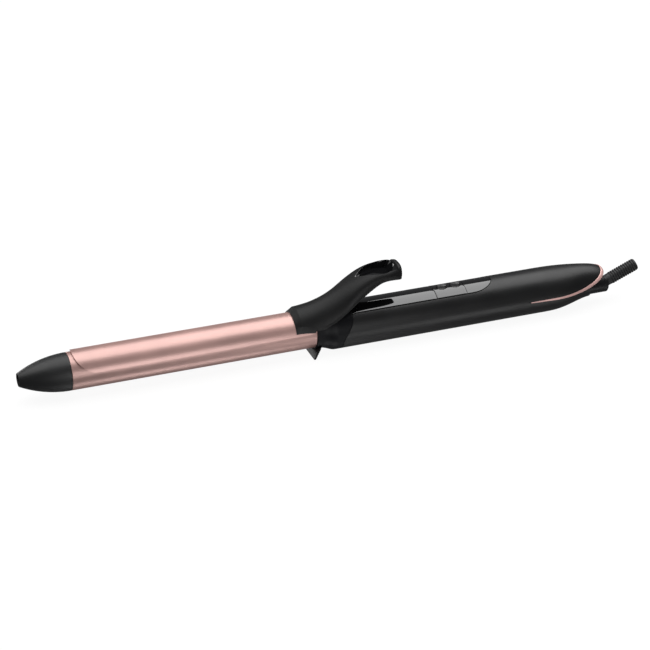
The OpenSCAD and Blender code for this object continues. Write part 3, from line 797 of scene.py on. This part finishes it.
ALONG = (0.06, 1, 1)
BRUSHED = {"grain": 3200, "bump": 0.006, "vary": 0.06, "rough_vary": 0.05, "stretch": (0.35, 1, 1),
           "ior": 1.95}
MOULDED = {"grain": 3000, "bump": 0.008, "vary": 0.15}
MATERIALS = {
    "barrel_rose_gold": surface("rose_gold_barrel", (0.54, 0.325, 0.29), 0.5, 0.38, **BRUSHED),
    "clamp_rose_gold": surface("rose_gold_clamp", (0.565, 0.34, 0.305), 0.5, 0.36, **BRUSHED),
    "trim_rose_gold": surface("rose_gold_trim", (0.80, 0.49, 0.45), 0.2, 0.34, grain=4000, bump=0.002,
                              vary=0.04),
    "nose_black": surface("nose_plastic", (0.0085, 0.0087, 0.009), 0, 0.46, grain=2600, bump=0.012, vary=0.15,
                          wear_and_highlight=0.1),
    "handle_black": surface("handle_plastic", (0.0045, 0.0045, 0.0047), 0, 0.40, wear_and_highlight=0.1, **MOULDED),
    # Lever: the strong edge lightening paints a highlight along its crease and chamfer edges, besides some
    # edge wear.
    "lever_black": surface("lever_soft_touch", (0.0065, 0.0065, 0.0066), 0, 0.47, grain=3400, bump=0.008,
                           vary=0.15, wear_and_highlight=0.35, ior=1.33),
    "collar_black": surface("collar_plastic", (0.0045, 0.0047, 0.006), 0, 0.44, wear_and_highlight=0.1, ior=1.25,
                            **MOULDED),
    "gloss_black": surface("gloss_lacquer", (0.004, 0.004, 0.0045), 0, 0.05, grain=900, bump=0.0005, vary=0.1,
                           rough_vary=0.015, ior=1.85),
    "button_black": surface("button_plastic", (0.005, 0.005, 0.0053), 0, 0.3, grain=3000, bump=0.004,
                            vary=0.1, ior=1.6),
    # Cord cap: the strong edge lightening paints a highlight on its rims, besides some edge wear.
    "cap_black": surface("cap_plastic", (0.007, 0.007, 0.0073), 0, 0.4, wear_and_highlight=0.7, ior=1.4, **MOULDED),
    "boot_rubber": surface("boot_rubber", (0.013, 0.013, 0.0135), 0, 0.5, grain=2600, bump=0.02, vary=0.2,
                           wear_and_highlight=0.7, sheen=0.03),
    "steel": surface("drawn_steel", (0.46, 0.46, 0.47), 1, 0.32, grain=2600, bump=0.006, stretch=ALONG),
    "spreader_aluminium": surface("cast_aluminium", (0.62, 0.62, 0.64), 1, 0.45, grain=1500, bump=0.02),
    "heater_ceramic": surface("heater_ceramic", (0.12, 0.11, 0.10), 0, 0.8, grain=1800, bump=0.02, vary=0.2),
    "contact_brass": surface("contact_brass", (0.66, 0.46, 0.19), 1, 0.35, grain=2600, bump=0.006,
                             stretch=ALONG),
    "film_amber": surface("amber_film", (0.42, 0.17, 0.02), 0, 0.25, grain=900, bump=0.004),
    "insulator_mica": surface("mica_board", (0.40, 0.31, 0.18), 0, 0.55, grain=700, bump=0.02, vary=0.25),
    "resin_white": surface("white_resin", (0.58, 0.56, 0.49), 0, 0.5, grain=2000, bump=0.01),
    "holder_black": surface("holder_phenolic", (0.028, 0.026, 0.024), 0, 0.6, grain=1400, bump=0.02,
                            vary=0.2),
    "board_green": surface("board_laminate", (0.012, 0.10, 0.035), 0, 0.35, grain=1600, bump=0.006, vary=0.2),
    "component_black": surface("component_epoxy", (0.02, 0.02, 0.021), 0, 0.55, grain=2600, bump=0.012),
    "component_red": surface("component_film", (0.30, 0.035, 0.015), 0, 0.4, grain=1600, bump=0.01),
    "choke_copper": surface("choke_winding", (0.45, 0.16, 0.06), 1, 0.4, grain=2400, bump=0.03,
                            stretch=ALONG),
    "led_clear": surface("clear_lens", (0.62, 0.62, 0.68), 0, 0.1, grain=900, bump=0.001, ior=1.49),
    "wire_white": surface("wire_sleeve_white", (0.6, 0.58, 0.53), 0, 0.55, grain=2400, bump=0.02),
    "wire_brown": surface("wire_sleeve_brown", (0.11, 0.045, 0.018), 0, 0.5, grain=2400, bump=0.01),
}


SHARP_ANGLE = 34
LEVER_SHARP_ANGLE = 12


def dress(piece, slot, sharp_angle):
    """Puts a slot's material on a piece and shades it smooth, except at edges sharper than the angle."""
    piece.data.materials.clear()
    piece.data.materials.append(MATERIALS[slot])
    for face in piece.data.polygons:
        face.use_smooth = True
        face.material_index = 0
    piece.data.set_sharp_from_angle(angle=math.radians(sharp_angle))


# ---- the object ----

BUILT = [
    (build_nose, "handle", "cool_tip", "nose_black"),
    (build_barrel, "handle", "barrel_tube", "barrel_rose_gold"),
    (build_blade, "clamp", "clamp_blade", "clamp_rose_gold"),
    (build_collar, "handle", "front_collar", "collar_black"),
    (build_lever, "clamp", "clamp_lever", "lever_black"),
    (build_thumb_dish, "clamp", "thumb_inlay", "gloss_black"),
    (build_upper_shell, "handle", "handle_upper_shell", "handle_black"),
    (build_lower_shell, "handle", "handle_lower_shell", "handle_black"),
    (build_trim, "handle", "trim_band", "trim_rose_gold"),
    (build_panel_front, "handle", "panel_front", "gloss_black"),
    (build_panel_control, "handle", "panel_control", "gloss_black"),
    (build_panel_rear, "handle", "panel_rear", "gloss_black"),
    (lambda: button_solid("key_front", BUTTON_X[0]), "front_button", "button_front", "button_black"),
    (lambda: button_solid("key_rear", BUTTON_X[1]), "rear_button", "button_rear", "button_black"),
    (build_cap, "swivel", "swivel_cap", "cap_black"),
    (build_boot, "boot", "cord_boot", "boot_rubber"),
]


def build_object():
    """The built pieces, each in place of its CAD node, and materials on the nodes that stay as they are."""
    for build, body, node, slot in BUILT:
        piece = build()
        dress(piece, slot, LEVER_SHARP_ANGLE if node == "clamp_lever" else SHARP_ANGLE)
        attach(piece, body)
        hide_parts(node)
    replaced = {node for _, _, node, _ in BUILT}
    for part in frame["record"]["subparts"]:
        if part["node"] in replaced:
            continue
        carried = frame["nodes"][part["node"]]
        for material_slot in carried.material_slots:
            material_slot.material = MATERIALS[part["material_slot"]]


# ---- stage, light and camera ----

def softbox(name, place, target, width, length, radiance):
    """A rectangular studio light. width runs across the object, length along it."""
    light = bpy.data.lights.new(name, "AREA")
    light.shape = "RECTANGLE"
    light.size, light.size_y = length, width
    light.energy = radiance * math.pi * width * length
    lamp = bpy.data.objects.new(name, light)
    bpy.context.scene.collection.objects.link(lamp)
    lamp.location = place
    lamp.rotation_mode = "QUATERNION"
    lamp.rotation_quaternion = (Vector(target) - Vector(place)).to_track_quat("-Z", "Y")
    lamp.visible_camera = False
    return lamp


def light_at(name, angle, distance, x, width, length, radiance):
    """A softbox beside the object: angle 0 is level in front of it, 90 is straight above."""
    place = (x, -distance * cosd(angle), AXIS_Z + distance * sind(angle))
    lamp = softbox(name, place, (x, 0, AXIS_Z), width, length, radiance)
    lamp.rotation_mode = "XYZ"
    lamp.rotation_euler = (math.radians(90 - angle), 0, 0)
    return lamp


def build_stage():
    bpy.ops.mesh.primitive_plane_add(size=12)
    floor = bpy.context.object
    floor.name = "floor"
    material = bpy.data.materials.new("floor_white")
    material.use_nodes = True
    shader = material.node_tree.nodes["Principled BSDF"]
    shader.inputs["Base Color"].default_value = (0.09, 0.09, 0.09, 1)
    shader.inputs["Roughness"].default_value = 0.9
    shader.inputs["Specular IOR Level"].default_value = 0
    shader.inputs["Emission Color"].default_value = (1, 1, 1, 1)
    shader.inputs["Emission Strength"].default_value = 0.93
    floor.data.materials.append(material)
    floor.visible_glossy = False
    floor.visible_diffuse = False
    floor.visible_shadow = False


def build_world():
    """Dim grey surroundings for the object, and white behind the floor's far edge."""
    world = bpy.data.worlds.new("studio")
    bpy.context.scene.world = world
    world.use_nodes = True
    nodes, link = world.node_tree.nodes, world.node_tree.links.new
    dim = nodes["Background"]
    dim.inputs["Color"].default_value = (0.96, 0.97, 1.0, 1)
    dim.inputs["Strength"].default_value = 0.13
    white = nodes.new("ShaderNodeBackground")
    white.inputs["Strength"].default_value = 1
    seen = nodes.new("ShaderNodeLightPath")
    mix = nodes.new("ShaderNodeMixShader")
    link(seen.outputs["Is Camera Ray"], mix.inputs[0])
    link(dim.outputs[0], mix.inputs[1])
    link(white.outputs[0], mix.inputs[2])
    link(mix.outputs[0], nodes["World Output"].inputs["Surface"])


def build_lights():
    light_at("overhead_barrel", 101, 1.2, -0.39, 1.5, 1.52, 2.25)
    light_at("overhead_handle", 100, 1.2, 0.91, 1.4, 1.08, 2.9)
    light_at("front_low_barrel", 2, 0.5, -0.02, 0.26, 0.26, 3.2)
    light_at("under_barrel", -70, 0.5, -0.01, 0.18, 0.26, 2.4)
    light_at("front_low_handle", -38, 0.5, 0.30, 0.14, 0.40, 2.1)
    softbox("rear_left", (-0.52, 0.83, 0.07), (0.036, 0, 0.05), 0.3, 0.5, 5)
    light_at("back_low", 200, 0.7, 0.0, 0.2, 1.4, 1.0)


def build_camera():
    """The photo's view: left of centre and from above."""
    look = at(199.5, 0, 1)
    distance, azimuth, elevation, view_angle = 1.4, -20.4, 28, 16.8
    back = Vector((sind(azimuth) * cosd(elevation), -cosd(azimuth) * cosd(elevation), sind(elevation)))
    data = bpy.data.cameras.new("camera")
    data.sensor_width = 36
    data.lens = data.sensor_width / 2 / math.tan(math.radians(view_angle / 2))
    camera = bpy.data.objects.new("camera", data)
    bpy.context.scene.collection.objects.link(camera)
    camera.location = look + back * distance
    camera.rotation_mode = "QUATERNION"
    camera.rotation_quaternion = (-back).to_track_quat("-Z", "Y")
    bpy.context.scene.camera = camera


build_camera()
build_object()
build_stage()
build_world()
build_lights()
bpy.context.scene.view_settings.view_transform = "Standard"
